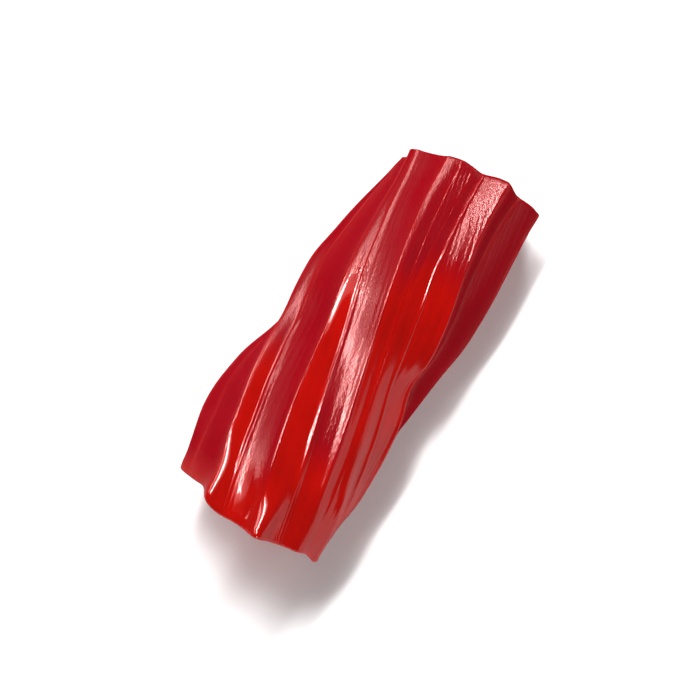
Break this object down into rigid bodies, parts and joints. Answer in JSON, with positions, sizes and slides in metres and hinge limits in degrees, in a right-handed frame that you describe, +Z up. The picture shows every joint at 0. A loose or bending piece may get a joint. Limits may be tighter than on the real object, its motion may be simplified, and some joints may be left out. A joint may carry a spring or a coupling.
{
  "type": "soft licorice piece",
  "caption": "Short twisted log of soft red licorice with winding creases, two slanted knife cuts and a slightly flattened underside.",
  "frame": {"origin": "middle of the footprint, on the surface the piece lies on", "axes": "+X along the log towards its narrow end, +Z up"},
  "size_m": [0.0478, 0.0192, 0.016],
  "materials": {
    "licorice_red": "oiled gloss on a deep red, slightly see-through chewy candy"
  },
  "bodies": {
    "root": {"licorice": "licorice_red"}
  },
  "joints": []
}
